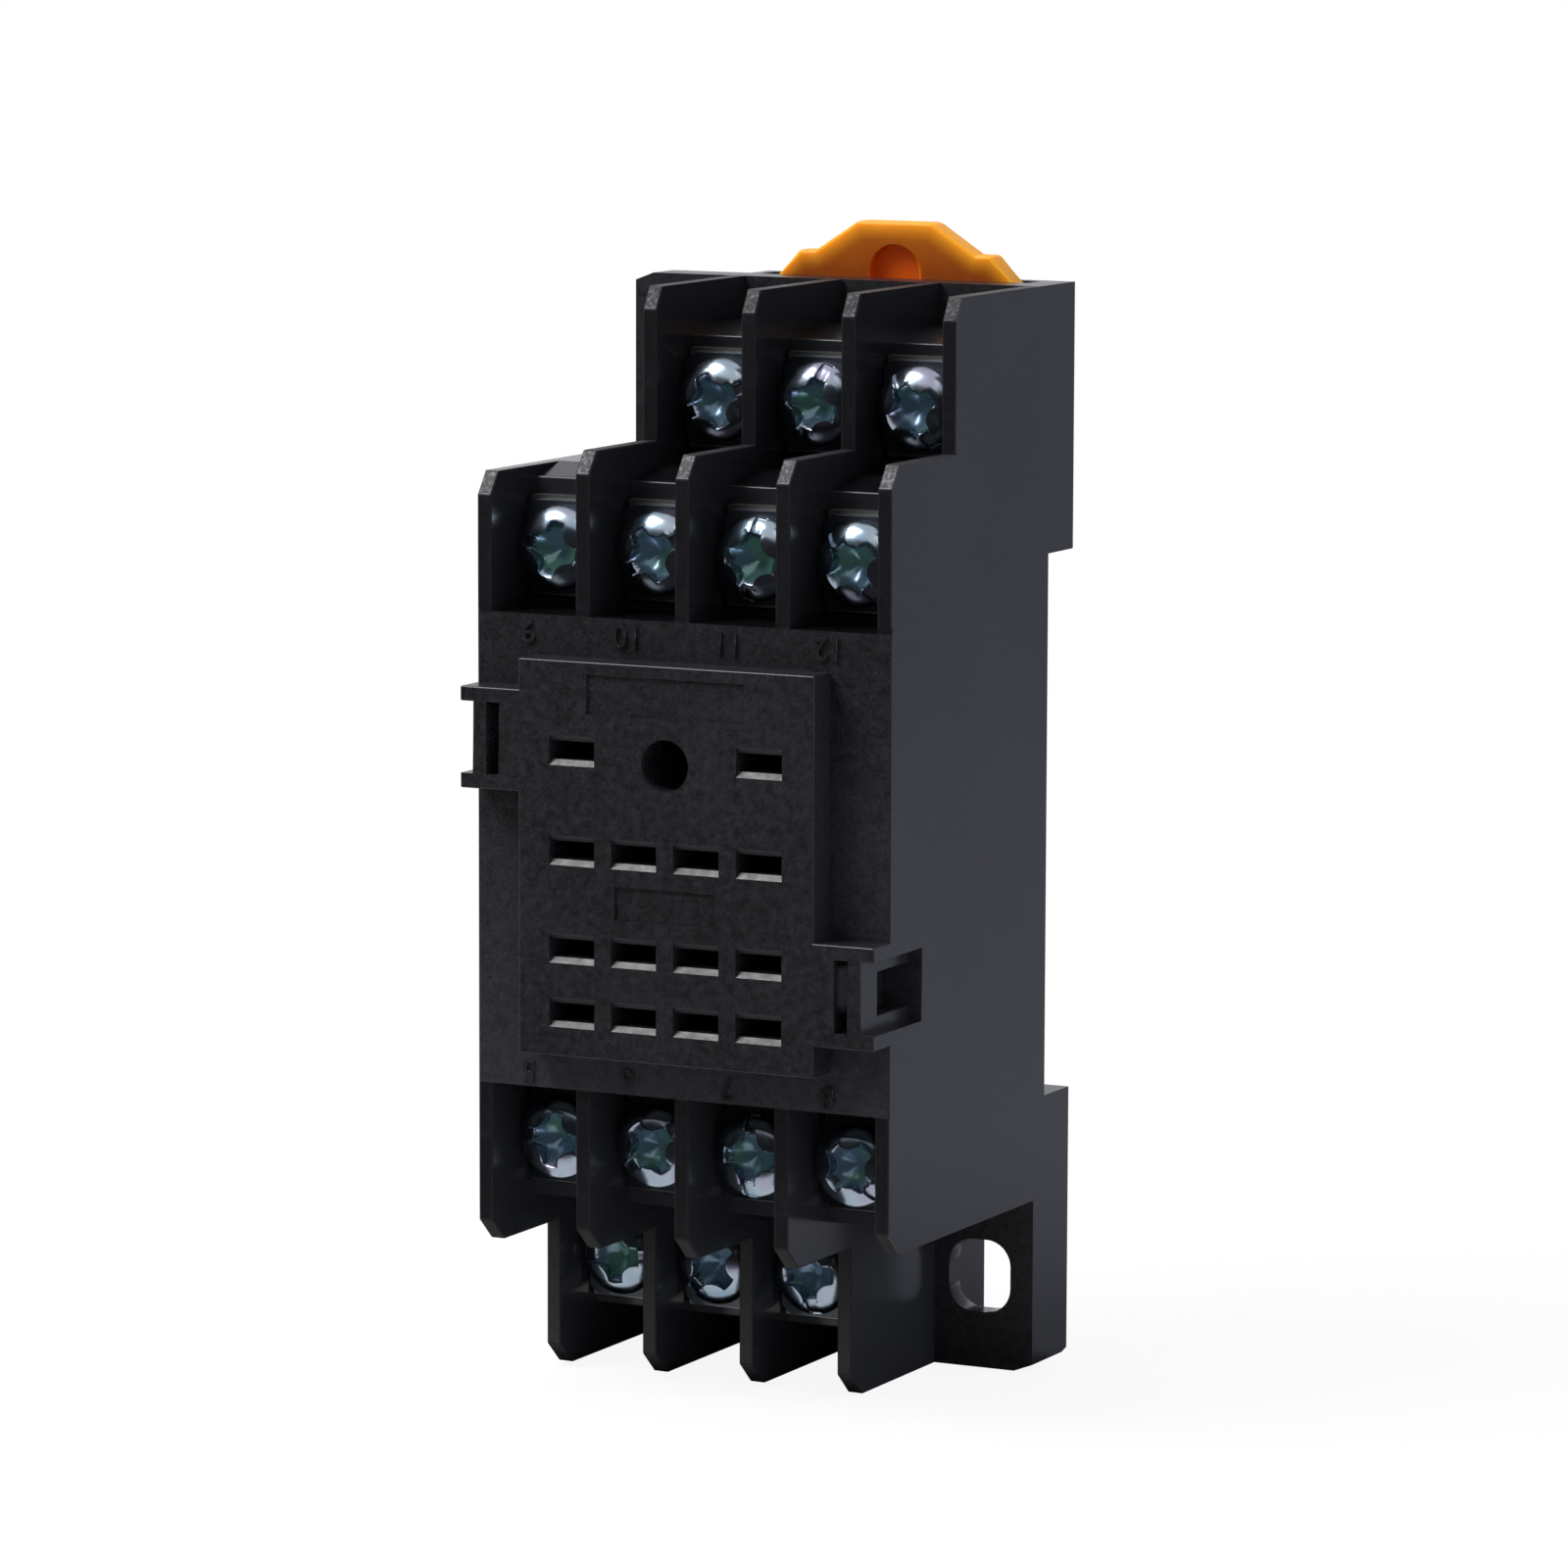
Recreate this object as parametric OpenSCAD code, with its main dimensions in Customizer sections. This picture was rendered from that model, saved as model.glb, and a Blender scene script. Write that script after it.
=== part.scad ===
// Screw-terminal socket for a four-pole plug-in relay, held on a 35 mm rail by a sliding clip.
// +Z is up and the front faces -Y. Y = 0 is the rear mounting plane, Z = 0 the centre line of the rail.
// Depths below are measured forward from the rear plane, and heights from the middle of the body.

/* [Body] */
// Width of the body
body_w = 29.2; // [27:0.1:34]
// Height of the base and of the rear tiers
body_h = 70.8; // [69:0.1:78]
// Depth from the rear plane to the front of the pin plate
body_d = 29.2; // [28:0.1:34]
// How far the middle of the body lies below the rail's centre line
body_drop = 0.4; // [0:0.1:0.8]
// Thickness of the walls between the terminal bays
wall = 1; // [0.8:0.05:1.3]
// Thickness of the base behind the housing
base_t = 5.4; // [5:0.1:6]
// Chamfer on the outer corner of each mounting foot, along its width
foot_chamfer = 1.3; // [0.3:0.1:2]
// Height of that chamfer
foot_chamfer_h = 0.5; // [0.2:0.1:1.5]
// Depth of the relief behind the end of each mounting foot
foot_relief_d = 2.6; // [1:0.1:3.5]
// Height of that relief
foot_relief_h = 0.7; // [0.2:0.1:1.5]

/* [Terminal tiers] */
// Depth of the rear tiers of terminals
rear_tier_d = 17.8; // [17:0.1:19]
// From the end of the body to the rear row of screws
rear_row_edge = 7.3; // [7:0.1:8]
// From one row of screws to the floor of the rear tier, outwards
row_to_floor = 4.1; // [3.9:0.1:4.6]
// From the floor of the rear tier to the front row of screws
floor_to_row = 5; // [4.8:0.1:5.6]
// From the front row of screws to the inner end of the bay
row_to_bay_end = 3.85; // [3.7:0.05:4.5]
// How far the front walls stand above the floor of the rear tier
wall_rise = 1.6; // [1:0.1:2.4]
// Depth of a terminal bay in the front tiers
front_bay_d = 5.7; // [5.4:0.1:6.2]
// Depth of a terminal bay in the rear tiers
rear_bay_d = 5.1; // [4.9:0.1:5.8]
// Height of the ledge above a screw row
ledge_h = 3.95; // [3.7:0.05:4.2]
// Rise of the sloped top behind a ledge
ledge_rise = 0.7; // [0.3:0.1:1]
// Length of the sloped top behind a ledge
ledge_run = 3.4; // [2:0.1:4]
// Chamfer of the wall corners, along the height
corner_h = 1.45; // [0.8:0.05:2]
// Chamfer of the upper front wall corners, along the depth
front_corner_d = 1.05; // [0.6:0.05:1.5]
// Chamfer of the upper rear wall corners, along the depth
rear_corner_d = 0.8; // [0.4:0.05:1.2]
// Chamfer of the lower wall corners, along the depth
lower_corner_d = 1.6; // [0.6:0.05:2]

/* [Pin plate] */
// How far the pin plate stands proud of the walls
plate_raise = 2.3; // [1.5:0.1:2.6]
// From the end of the pin plate to the terminal bays
plate_margin = 2.55; // [1:0.05:3]
// Thickness of the pin plate in front of the contacts
plate_wall = 1.5; // [1.2:0.1:2]
// Pitch of the pin slots across the plate
pin_pitch = 4.4; // [4.2:0.1:5]
// Height of the first row of pin slots, which has only the outer two
coil_row = 6.9; // [6.5:0.05:7.5]
// From the first to the second row of pin slots
row_step_1 = 6.35; // [6:0.05:6.6]
// From the second to the third row of pin slots
row_step_2 = 6.25; // [6:0.05:6.6]
// From the third to the fourth row of pin slots
row_step_3 = 4.1; // [3.9:0.05:4.4]
// Width of a pin slot
slot_w = 3.2; // [2.8:0.05:3.4]
// Height of a pin slot
slot_h = 1.9; // [1.6:0.05:2.2]
// Diameter of the guide hole between the coil pins
guide_d = 3.3; // [2.6:0.1:3.6]
// Depth of the guide hole
guide_depth = 10; // [4:0.5:13]
// How far the guide hole lies below the coil slots
guide_drop = 0.55; // [0:0.05:1]
// Depth of the sloped lead-in of a pin slot
lead_d = 0.3; // [0.2:0.05:1.4]
// Height of that slope
lead_h = 0.36; // [0.2:0.02:0.46]
// Depth of the shallow panels in the pin plate
panel_depth = 0.15; // [0.1:0.05:0.5]
// Width of the panel at the top of the pin plate
top_panel_w = 11.1; // [9:0.1:13]
// Height of that panel
top_panel_h = 2.5; // [1.8:0.1:2.8]
// From the end of the pin plate to that panel
top_panel_edge = 0.8; // [0.5:0.1:1.2]
// Width of the panel between the pin rows
row_panel_w = 7.1; // [5:0.1:9]
// Height of the panel between the pin rows
row_panel_h = 2.1; // [1.4:0.1:2.6]

/* [Clip ears] */
// Width of an ear from the side of the body to the pin plate
ear_w = 4.2; // [3.8:0.1:5]
// Height of an ear
ear_h = 6.5; // [5.5:0.1:7.5]
// Height of the middle of an ear
ear_z = 7.35; // [6.5:0.05:8]
// Thickness of the top and bottom of an ear
ear_wall = 0.95; // [0.6:0.05:1.2]
// Width of the slot in the front of an ear
ear_slot_w = 0.9; // [0.6:0.05:1.2]
// From the side of the body to the slot in an ear
ear_slot_x = 1.85; // [1.6:0.05:2.2]
// Depth of the recess in the side of an ear
ear_recess = 0.9; // [0.5:0.05:1.2]
// Length of that recess, back from the front of the ear
ear_recess_d = 6.85; // [5:0.05:8]
// Length of the solid strip in front of the side window
ear_strip_d = 2.4; // [1.5:0.1:3]

/* [Contacts] */
// Thickness of the contact strip
strip_t = 0.8; // [0.6:0.05:1]
// Width of the contact strip
strip_w = 2.8; // [2.2:0.1:3]
// Half the height of a terminal plate
tab_half = 3.2; // [2.9:0.05:3.5]
// Clearance between a terminal plate and the walls of its bay
tab_gap = 0.225; // [0.1:0.025:0.5]
// Clearance round a strip in its pocket
pocket_gap = 0.25; // [0.1:0.05:0.4]
// Clear depth between the tips of the front screws and the strips behind them
strip_clear = 2; // [1:0.1:3]
// From the base to the strips of the rear contacts
rear_strip_gap = 1.2; // [0.8:0.1:1.6]
// From the jog in a strip to its fork and to its leg
jog_gap = 0.3; // [0.1:0.1:1]
// Wall between two fork chambers
chamber_wall = 0.9; // [0.6:0.1:1.2]
// Thickness of a fork leaf
leaf_t = 0.4; // [0.3:0.05:0.5]
// Gap between the leaves at the throat of a fork
throat = 0.5; // [0.3:0.05:0.8]
// Distance of the throat from the mouth of a fork
throat_d = 3.5; // [2.5:0.1:5]
// Length of the throat
throat_l = 1; // [0.5:0.1:2]
// Length of the tapped collar behind a terminal plate
collar_l = 1.2; // [0.6:0.1:1.6]
// Wall of the tapped collar
collar_wall = 0.7; // [0.5:0.05:1]

/* [Screws and washers] */
// Diameter of the screw over its thread
thread_d = 2.9; // [2.4:0.1:3]
// Length of the screw under its head
screw_l = 7; // [5.5:0.1:7.5]
// Chamfer at the tip of the screw
tip_chamfer = 0.5; // [0.2:0.1:0.8]
// Height of the screw head
head_h = 2; // [1.6:0.1:2.4]
// Height of the straight rim of the screw head
head_rim = 0.7; // [0.4:0.1:1]
// Clearance between a screw head and the walls of its bay
head_gap = 0.325; // [0.2:0.025:0.6]
// Depth of the cross recess
cross_depth = 1.3; // [0.8:0.1:1.5]
// Width of a cross arm
cross_w = 1.05; // [0.8:0.05:1.3]
// Length of the cross recess from tip to tip
cross_l = 4.2; // [3.6:0.1:4.6]
// Length of the cross recess at its bottom
cross_floor = 2.2; // [1.4:0.1:2.4]
// Depth of the blunt point below the cross recess
cross_point = 0.6; // [0.3:0.1:0.8]
// Diameter of that point at its end
cross_point_d = 0.45; // [0.2:0.05:0.8]
// Radius of the round corners between the cross arms
cross_corner = 1.1; // [0.8:0.05:1.6]
// Width of the straight slot through the cross
driver_slot_w = 0.75; // [0.6:0.05:1]
// Depth of the straight slot below the dome of the head
driver_slot_depth = 0.4; // [0.2:0.05:1.2]
// Thickness of a clamp washer
washer_t = 0.8; // [0.6:0.05:1]
// Clearance between a clamp washer and the walls of its bay
washer_gap = 0.3; // [0.2:0.025:0.6]
// Height of a clamp washer
washer_h = 6; // [5.4:0.1:6.2]
// Radius that trims the corners of a clamp washer
washer_r = 3.65; // [3.2:0.05:4]
// Running clearance of the thread in its plate
thread_gap = 0.05; // [0.03:0.01:0.1]
// Clearance of the screw in its washer
washer_bore_gap = 0.15; // [0.1:0.05:0.3]
// How far the recess of the first screw is turned
first_turn = 25; // [0:1:90]
// How far the recess of each screw is turned from the one before
turn_step = 47; // [0:1:90]

/* [Rail and feet] */
// Width of the rail channel
rail_w = 35.4; // [35.2:0.1:35.8]
// Depth of the rail channel
rail_d = 3.8; // [3.4:0.1:4]
// Gap left for the lip of the rail
rail_lip = 1.1; // [1:0.05:1.3]
// How far the hooks and the clip reach over the lip of the rail
hook_reach = 1.3; // [0.8:0.1:2]
// Width of a fixed hook
hook_w = 6; // [3:0.5:8]
// From the middle to the inner side of a fixed hook
hook_x = 4; // [1:0.5:6]
// Width of a mounting slot
mount_slot_w = 4.4; // [4.2:0.1:4.8]
// Length of a mounting slot
mount_slot_l = 4.8; // [4.6:0.1:6.5]
// Corner radius of a mounting slot
mount_slot_r = 1.7; // [1:0.1:2]
// From the side of the body to the middle of a mounting slot
mount_side = 3.8; // [3.3:0.1:4.2]
// From the end of the body to the middle of a mounting slot
mount_end = 6.1; // [5:0.1:7]
// Thickness of a foot at its mounting slot
mount_skin = 1.6; // [1.2:0.1:3]
// How far the pocket behind a mounting slot reaches past its ends
mount_rim = 0.9; // [0.5:0.1:1.5]

/* [Rail clip] */
// Thickness of the clip
clip_t = 1.7; // [1.4:0.1:1.8]
// Clearance round the clip in its guide
clip_gap = 0.2; // [0.1:0.05:0.3]
// How far the clip lies left of the middle of its three bays
clip_shift = 0.6; // [0:0.1:0.8]
// From the clip to the bays on both sides, together
clip_inset = 2.35; // [1.5:0.05:4]
// Width of the rear lips that hold the clip in its guide
clip_lip = 2.4; // [1.5:0.1:3]
// Width of the pull tab where it leaves the body
tab_base_w = 17.1; // [14:0.1:18]
// Width of the pull tab at its shoulders
tab_shoulder_w = 13.8; // [12:0.1:15]
// Width of the raised middle of the pull tab at the shoulders
tab_mid_w = 11.5; // [9:0.1:12]
// Width of the top edge of the pull tab
tab_top_w = 5.3; // [4:0.1:8]
// Height of the shoulders above the body
tab_shoulder_h = 1.65; // [0.8:0.05:2]
// Height of the pull tab above the body
tab_h = 3.65; // [2.6:0.05:5]
// Width of the driver notch in the pull tab
notch_w = 3.7; // [3:0.1:5]
// Depth of the driver notch
notch_depth = 0.9; // [0.5:0.1:1.2]
// Height of the driver notch above the body
notch_h = 2.2; // [2:0.05:3]
// Thickness of the clip's nose at its tip
nose_t = 0.7; // [0.4:0.1:1]
// Width of a spring arm of the clip
arm_w = 1.5; // [1:0.1:2]
// Width of the slit beside a spring arm
arm_slit = 0.9; // [0.6:0.1:1.2]
// From the channel to the free end of a spring arm
arm_start = 2.5; // [1.5:0.1:4]
// From the root of a spring arm to the end of the body
arm_root = 4; // [3:0.1:6]

/* [Hidden] */
$fn = 48;
over = 1;
columns = 4;
half_w = body_w / 2;
half_h = body_h / 2;
pitch = (body_w - wall) / columns;
bay_w = pitch - wall;
top_z = half_h - body_drop;

// Heights of the tiers, worked inwards from the end of the body
rear_row = half_h - rear_row_edge;
floor_z = rear_row - row_to_floor;
front_row = floor_z - floor_to_row;
bay_z = front_row - row_to_bay_end;
front_tier_z = floor_z + wall_rise;
front_ledge_z = floor_z - ledge_rise;
rear_ledge_z = rear_row + ledge_h;

// Depths of the tiers
side_d = body_d - plate_raise;
front_seat = side_d - front_bay_d;
rear_seat = rear_tier_d - rear_bay_d;

// Pin plate
plate_half_w = half_w - ear_w;
plate_half_h = bay_z - plate_margin;
slot_rows = [
    coil_row,
    coil_row - row_step_1,
    coil_row - row_step_1 - row_step_2,
    coil_row - row_step_1 - row_step_2 - row_step_3
];
guide_z = coil_row - guide_drop;
top_panel_z = plate_half_h - top_panel_edge - top_panel_h / 2;
row_panel_z = (slot_rows[1] + slot_rows[2]) / 2;

// Contacts: the inside of the pin plate is the mouth of every fork
mouth_d = body_d - plate_wall - pocket_gap;
tab_w = bay_w - 2 * tab_gap;
front_strip_d = front_seat + washer_t - screw_l - strip_clear;
rear_strip_d = base_t + rear_strip_gap;
jog_start = max(-min(slot_rows), max(slot_rows)) + strip_w / 2 + jog_gap;
chamber_h = row_step_3 - chamber_wall;
leaf_spread = chamber_h / 2 - pocket_gap;

// Screws and washers
thread_r = thread_d / 2;
head_r = bay_w / 2 - head_gap;
washer_w = bay_w - 2 * washer_gap;
bore_r = thread_r + collar_wall + pocket_gap;

// Clip
clip_x = (column_left(1) + half_w) / 2 - clip_shift;
clip_half = (3 * pitch - clip_inset) / 2;
clip_d = rail_d - rail_lip - clip_t;
nose_half = clip_half - arm_w - arm_slit;
nose_z = rail_w / 2 - hook_reach;

// Wiring of the terminals, from the upper left to the lower right:
// slot column, slot row, terminal column, rear tier or not, and up or down
wiring = [
    [0, 1, 1, true, 1],
    [2, 2, 2, true, 1],
    [3, 1, 3, true, 1],
    [0, 0, 0, false, 1],
    [1, 1, 1, false, 1],
    [2, 1, 2, false, 1],
    [3, 0, 3, false, 1],
    [0, 3, 0, false, -1],
    [1, 3, 1, false, -1],
    [2, 3, 2, false, -1],
    [3, 3, 3, false, -1],
    [0, 2, 0, true, -1],
    [1, 2, 1, true, -1],
    [3, 2, 2, true, -1]
];
terminals = len(wiring);

housing_colour = "#1d1d1f";
base_colour = "#1a1a1c";
clip_colour = "#e2952a";
contact_colour = "#cfd2d6";
washer_colour = "#b9bdc2";
screw_colour = "#b4c0c4";

// Places of walls, bays, slots and terminals
function column_left(k) = -half_w + k * pitch;
function column_x(i) = column_left(i) + wall + bay_w / 2;
function slot_x(i) = (wiring[i][0] - (columns - 1) / 2) * pin_pitch;
function slot_z(i) = slot_rows[wiring[i][1]];
function way(i) = wiring[i][4];
function terminal_x(i) = column_x(wiring[i][2]);
function terminal_z(i) = way(i) * (wiring[i][3] ? rear_row : front_row);
function seat_d(i) = wiring[i][3] ? rear_seat : front_seat;
function strip_d(i) = wiring[i][3] ? rear_strip_d : front_strip_d;
function leg_z(i) = way(i) * terminal_z(i) - tab_half;
function head_turn(i) = first_turn + turn_step * i;

// Extrudes a profile of [depth, height] points across the width
module across(points, x, width) {
    translate([x, 0, 0])
        rotate([90, 0, 90])
            linear_extrude(width)
                polygon([for (p = points) [-p[0], p[1]]]);
}

// Extrudes a front-view outline forward from a depth
module forward(depth, length) {
    translate([0, -depth, 0])
        rotate([90, 0, 0])
            linear_extrude(length)
                children();
}

// A block between two corners of [x, depth, height]
module block(low, high) {
    translate([low[0], -high[1], low[2]])
        cube([high[0] - low[0], high[1] - low[1], high[2] - low[2]]);
}

// The upper half and the same half turned about the depth axis
module both_halves() {
    children();
    rotate([0, 180, 0])
        children();
}

module in_body() {
    translate([0, 0, -body_drop])
        children();
}

// Walls: the column of the mounting foot is low, the other columns carry the rear tier
module low_walls(front_corner) {
    across([
        [base_t, -over], [side_d, -over],
        [side_d, floor_z - corner_h], [side_d - front_corner, floor_z],
        [base_t, floor_z]
    ], -half_w, pitch + wall);
}

module high_walls(front_corner, rear_corner) {
    across([
        [base_t, -over], [side_d, -over],
        [side_d, front_tier_z - corner_h], [side_d - front_corner, front_tier_z],
        [rear_tier_d, front_tier_z],
        [rear_tier_d, half_h - corner_h], [rear_tier_d - rear_corner, half_h],
        [base_t, half_h]
    ], column_left(1), half_w - column_left(1));
}

module walls() {
    low_walls(front_corner_d);
    high_walls(front_corner_d, rear_corner_d);
    rotate([0, 180, 0]) {
        low_walls(lower_corner_d);
        high_walls(lower_corner_d, lower_corner_d);
    }
}

// Space of the terminal bays in one column
module bays(column) {
    front = body_d + over;
    top = half_h + over;
    front_part = [
        [front_seat, bay_z], [front, bay_z], [front, top], [base_t - over, top]
    ];
    foot_part = [
        [base_t - over, floor_z], [front_seat - ledge_run, floor_z], [front_seat, front_ledge_z]
    ];
    rear_part = [
        [base_t - over, rear_ledge_z + ledge_rise], [rear_seat - ledge_run, rear_ledge_z + ledge_rise],
        [rear_seat, rear_ledge_z], [rear_seat, floor_z],
        [front_seat - ledge_run, floor_z], [front_seat, front_ledge_z]
    ];
    across(concat(front_part, column == 0 ? foot_part : rear_part), column_left(column) + wall, bay_w);
}

// Ear for the relay's hold-down clip, on the left of the upper half
module ear() {
    block([-half_w, side_d - over, ear_z - ear_h / 2], [-plate_half_w + over, body_d, ear_z + ear_h / 2]);
}

module ear_openings() {
    low = ear_z - ear_h / 2 + ear_wall;
    high = ear_z + ear_h / 2 - ear_wall;
    slot = -half_w + ear_slot_x;
    back = body_d - ear_recess_d;
    block([slot, back, low], [slot + ear_slot_w, body_d + over, high]);
    block([-half_w - over, back, low], [-half_w + ear_recess, body_d + over, high]);
    block([-half_w, back, low + ear_wall], [slot + ear_slot_w / 2, body_d - ear_strip_d, high - ear_wall]);
}

module pin_plate() {
    block([-plate_half_w, side_d - over, -plate_half_h], [plate_half_w, body_d, plate_half_h]);
}

module shallow_panel(w, h, z) {
    block([-w / 2, body_d - panel_depth, z - h / 2], [w / 2, body_d + over, z + h / 2]);
}

// Pin slot, whose top and bottom slope in towards the fork
module pin_slot(x, z) {
    back = body_d - plate_wall - over;
    mouth = slot_h / 2;
    inner = mouth - lead_h;
    across([
        [back, z - inner], [body_d - lead_d, z - inner], [body_d, z - mouth], [body_d + over, z - mouth],
        [body_d + over, z + mouth], [body_d, z + mouth], [body_d - lead_d, z + inner], [back, z + inner]
    ], x - slot_w / 2, slot_w);
}

// Front view of a strip, from its fork to the leg of its terminal plate
module strip_outline(i, grow) {
    w = strip_w / 2 + grow;
    x0 = slot_x(i);
    x1 = terminal_x(i);
    start = way(i) * slot_z(i) - strip_w / 2 - grow;
    jog_end = leg_z(i) - jog_gap;
    end = leg_z(i) + strip_t + grow;
    side = [
        [x0 - w, start], [x0 - w, jog_start], [x1 - w, jog_end], [x1 - w, end],
        [x1 + w, end], [x1 + w, jog_end], [x0 + w, jog_start], [x0 + w, start]
    ];
    polygon([for (p = side) [p[0], way(i) * p[1]]]);
}

// Pocket of one contact: fork chamber, pin slot, strip groove, leg slot and screw bore
module contact_pocket(i) {
    x = slot_x(i);
    z = slot_z(i);
    tx = terminal_x(i);
    leg = leg_z(i) - pocket_gap;
    leg_top = leg_z(i) + strip_t + pocket_gap;
    tip_d = seat_d(i) + strip_t + washer_t - screw_l - pocket_gap;
    chamber_w = strip_w + 2 * pocket_gap;
    block([x - chamber_w / 2, base_t - over, z - chamber_h / 2],
        [x + chamber_w / 2, body_d - plate_wall, z + chamber_h / 2]);
    pin_slot(x, z);
    forward(base_t - over, strip_d(i) + strip_t + pocket_gap - base_t + over)
        strip_outline(i, pocket_gap);
    block([tx - tab_w / 2 - tab_gap / 2, base_t - over, min(way(i) * leg, way(i) * leg_top)],
        [tx + tab_w / 2 + tab_gap / 2, seat_d(i) + over, max(way(i) * leg, way(i) * leg_top)]);
    translate([tx, -tip_d, terminal_z(i)])
        rotate([90, 0, 0])
            cylinder(r = bore_r, h = seat_d(i) + over - tip_d);
}

module housing() {
    color(housing_colour)
        in_body()
            difference() {
                union() {
                    difference() {
                        walls();
                        both_halves()
                            for (column = [0 : columns - 1])
                                bays(column);
                    }
                    pin_plate();
                    both_halves()
                        ear();
                }
                both_halves()
                    ear_openings();
                for (i = [0 : terminals - 1])
                    contact_pocket(i);
                translate([0, guide_depth - body_d, guide_z])
                    rotate([90, 0, 0])
                        cylinder(d = guide_d, h = guide_depth + over);
                shallow_panel(top_panel_w, top_panel_h, top_panel_z);
                shallow_panel(row_panel_w, row_panel_h, row_panel_z);
            }
}

// Front view of the base: the outer corner of each mounting foot is chamfered
module base_outline() {
    polygon([
        [-half_w, -half_h], [half_w - foot_chamfer, -half_h], [half_w, -half_h + foot_chamfer_h],
        [half_w, half_h], [-half_w + foot_chamfer, half_h], [-half_w, half_h - foot_chamfer_h]
    ]);
}

// Mounting slot with round corners, and the square pocket behind it
module mounting_slot() {
    w = mount_slot_w / 2;
    l = mount_slot_l / 2;
    r = mount_slot_r;
    translate([mount_side - half_w, 0, half_h - mount_end]) {
        block([-w, -over, r - l], [w, base_t + over, l - r]);
        block([r - w, -over, -l], [w - r, base_t + over, l]);
        for (x = [r - w, w - r], z = [r - l, l - r])
            translate([x, over, z])
                rotate([90, 0, 0])
                    cylinder(r = r, h = base_t + 2 * over);
        block([-w, -over, -l - mount_rim], [w, base_t - mount_skin, l + mount_rim]);
    }
}

// Sloped relief behind the end of a mounting foot
module foot_relief() {
    across([
        [-over, half_h + over], [foot_relief_d, half_h + over], [foot_relief_d, half_h],
        [0, half_h - foot_relief_h], [-over, half_h - foot_relief_h]
    ], -half_w - over, pitch + over);
}

module rail_hook(x) {
    edge = -rail_w / 2;
    across([
        [rail_d - rail_lip, edge - over], [rail_d - rail_lip, edge + hook_reach],
        [rail_d - rail_lip - clip_t / 2, edge + hook_reach], [rail_d - rail_lip - clip_t, edge],
        [rail_d - rail_lip - clip_t, edge - over]
    ], x, hook_w);
}

module clip_guide() {
    edge = rail_w / 2 - over;
    side = clip_half + clip_gap;
    block([clip_x - side, clip_d - clip_gap, edge],
        [clip_x + side, clip_d + clip_t + clip_gap, top_z + over]);
    block([clip_x - side + clip_lip, -over, edge], [clip_x + side - clip_lip, clip_d, top_z + over]);
}

module base() {
    color(base_colour)
        union() {
            difference() {
                in_body()
                    difference() {
                        forward(0, base_t)
                            base_outline();
                        both_halves() {
                            mounting_slot();
                            foot_relief();
                        }
                    }
                block([-half_w - over, -over, -rail_w / 2], [half_w + over, rail_d, rail_w / 2]);
                clip_guide();
            }
            rail_hook(hook_x);
            rail_hook(-hook_x - hook_w);
        }
}

// Front view of the clip: nose, body with two spring arms, and pull tab
module clip_outline() {
    arm_z = rail_w / 2 + arm_start;
    difference() {
        polygon([
            [-nose_half, nose_z], [nose_half, nose_z], [nose_half, arm_z], [clip_half, arm_z],
            [clip_half, top_z - clip_gap], [tab_base_w / 2, top_z - clip_gap],
            [tab_shoulder_w / 2, top_z + tab_shoulder_h], [tab_mid_w / 2, top_z + tab_shoulder_h],
            [tab_top_w / 2, top_z + tab_h], [-tab_top_w / 2, top_z + tab_h],
            [-tab_mid_w / 2, top_z + tab_shoulder_h], [-tab_shoulder_w / 2, top_z + tab_shoulder_h],
            [-tab_base_w / 2, top_z - clip_gap], [-clip_half, top_z - clip_gap],
            [-clip_half, arm_z], [-nose_half, arm_z]
        ]);
        for (side = [-1, 1])
            translate([side * (nose_half + arm_slit / 2), (arm_z - over + top_z - arm_root) / 2])
                square([arm_slit, top_z - arm_root - arm_z + over], center = true);
    }
}

module rail_clip() {
    front = clip_d + clip_t;
    notch_top = top_z + notch_h - notch_w / 2;
    color(clip_colour)
        translate([clip_x, 0, 0])
            difference() {
                forward(clip_d, clip_t)
                    clip_outline();
                across([
                    [clip_d - over, nose_z - over], [front - nose_t, nose_z - over],
                    [front - nose_t, nose_z], [clip_d, nose_z + hook_reach],
                    [clip_d - over, nose_z + hook_reach]
                ], -clip_half, 2 * clip_half);
                translate([0, notch_depth - front, notch_top])
                    rotate([90, 0, 0])
                        cylinder(d = notch_w, h = notch_depth + over);
                block([-notch_w / 2, front - notch_depth, top_z - notch_w],
                    [notch_w / 2, front + over, notch_top]);
            }
}

// One leaf of a fork, seen from the side; the other is its mirror image
module leaf(i, side) {
    x = slot_x(i);
    z = slot_z(i);
    root = strip_d(i) + strip_t / 2;
    bend = mouth_d - throat_d;
    outer = leaf_spread;
    inner = throat / 2 + leaf_t;
    line = [[root, outer], [bend - throat_l, inner], [bend, inner], [mouth_d, outer]];
    points = concat(line, [for (k = [len(line) - 1 : -1 : 0]) [line[k][0], line[k][1] - leaf_t]]);
    across([for (p = points) [p[0], z + side * p[1]]], x - strip_w / 2, strip_w);
}

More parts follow.
